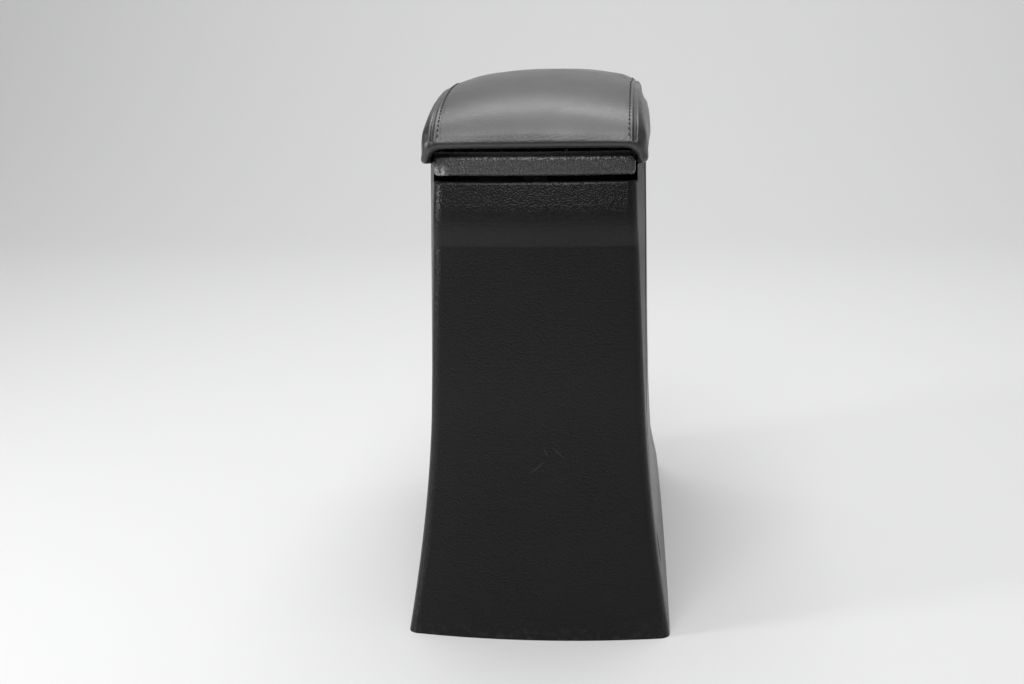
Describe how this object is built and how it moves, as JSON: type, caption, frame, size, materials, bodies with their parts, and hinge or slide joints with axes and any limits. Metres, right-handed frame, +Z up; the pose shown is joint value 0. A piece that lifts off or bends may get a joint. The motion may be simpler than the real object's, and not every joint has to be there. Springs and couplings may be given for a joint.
{
  "type": "car centre armrest",
  "caption": "Flared car centre armrest console with a padded leather lid that hinges up over a deep storage bin, and a full-width release bar under its nose.",
  "frame": {"origin": "on the floor under the middle of the console", "axes": "+Z up, +Y along the console towards the lid's hinge, -Y towards the opening end with the release bar, +X across"},
  "size_m": [0.1604, 0.3737, 0.3363],
  "materials": {
    "shell_plastic": "fine leather grain, satin",
    "bar_plastic": "coarse grain, satin",
    "bin_plastic": "fine matte",
    "tray_plastic": "smooth moulded",
    "mat_rubber": "matte",
    "frame_paint": "black satin",
    "screw_steel": "dark zinc",
    "pin_steel": "dark phosphate",
    "pad_foam": "open-cell foam",
    "pad_leather": "smooth fine-grained, soft sheen"
  },
  "bodies": {
    "housing": {"end_cover": "shell_plastic", "far_cover": "shell_plastic", "side_panel_right": "shell_plastic", "side_panel_left": "shell_plastic", "storage_bin": "bin_plastic", "bin_mat": "mat_rubber", "bin_screws": "screw_steel", "base_frame": "frame_paint", "side_screws": "screw_steel", "hinge_bracket": "frame_paint", "bracket_screws": "screw_steel", "hinge_pin": "pin_steel", "lid_bumpers": "mat_rubber", "latch_catch": "pin_steel", "catch_rivets": "pin_steel"},
    "lid": {"lid_hinge_leaf": "frame_paint", "leaf_screws": "screw_steel", "lid_tray": "tray_plastic", "lid_inner_cover": "bin_plastic", "lid_screws": "screw_steel", "pad_foam": "pad_foam", "pad_centre_panel": "pad_leather", "pad_right_panel": "pad_leather", "pad_left_panel": "pad_leather", "bar_pivot_pin": "pin_steel"},
    "lever": {"release_bar": "bar_plastic", "bar_springs": "pin_steel"}
  },
  "joints": [
    {"name": "lid_hinge", "type": "hinge", "parent": "housing", "child": "lid", "pos_m": [0, 0.173, 0.286], "axis": [-1, 0, 0], "range_deg": [0, 95], "deforming": ["latch_catch"]},
    {"name": "release_lever", "type": "hinge", "parent": "lid", "child": "lever", "pos_m": [0, -0.1475, 0.29], "axis": [-1, 0, 0], "range_deg": [0, 12], "stiffness_Nm_per_rad": 0.1, "springref_deg": -11.46}
  ]
}
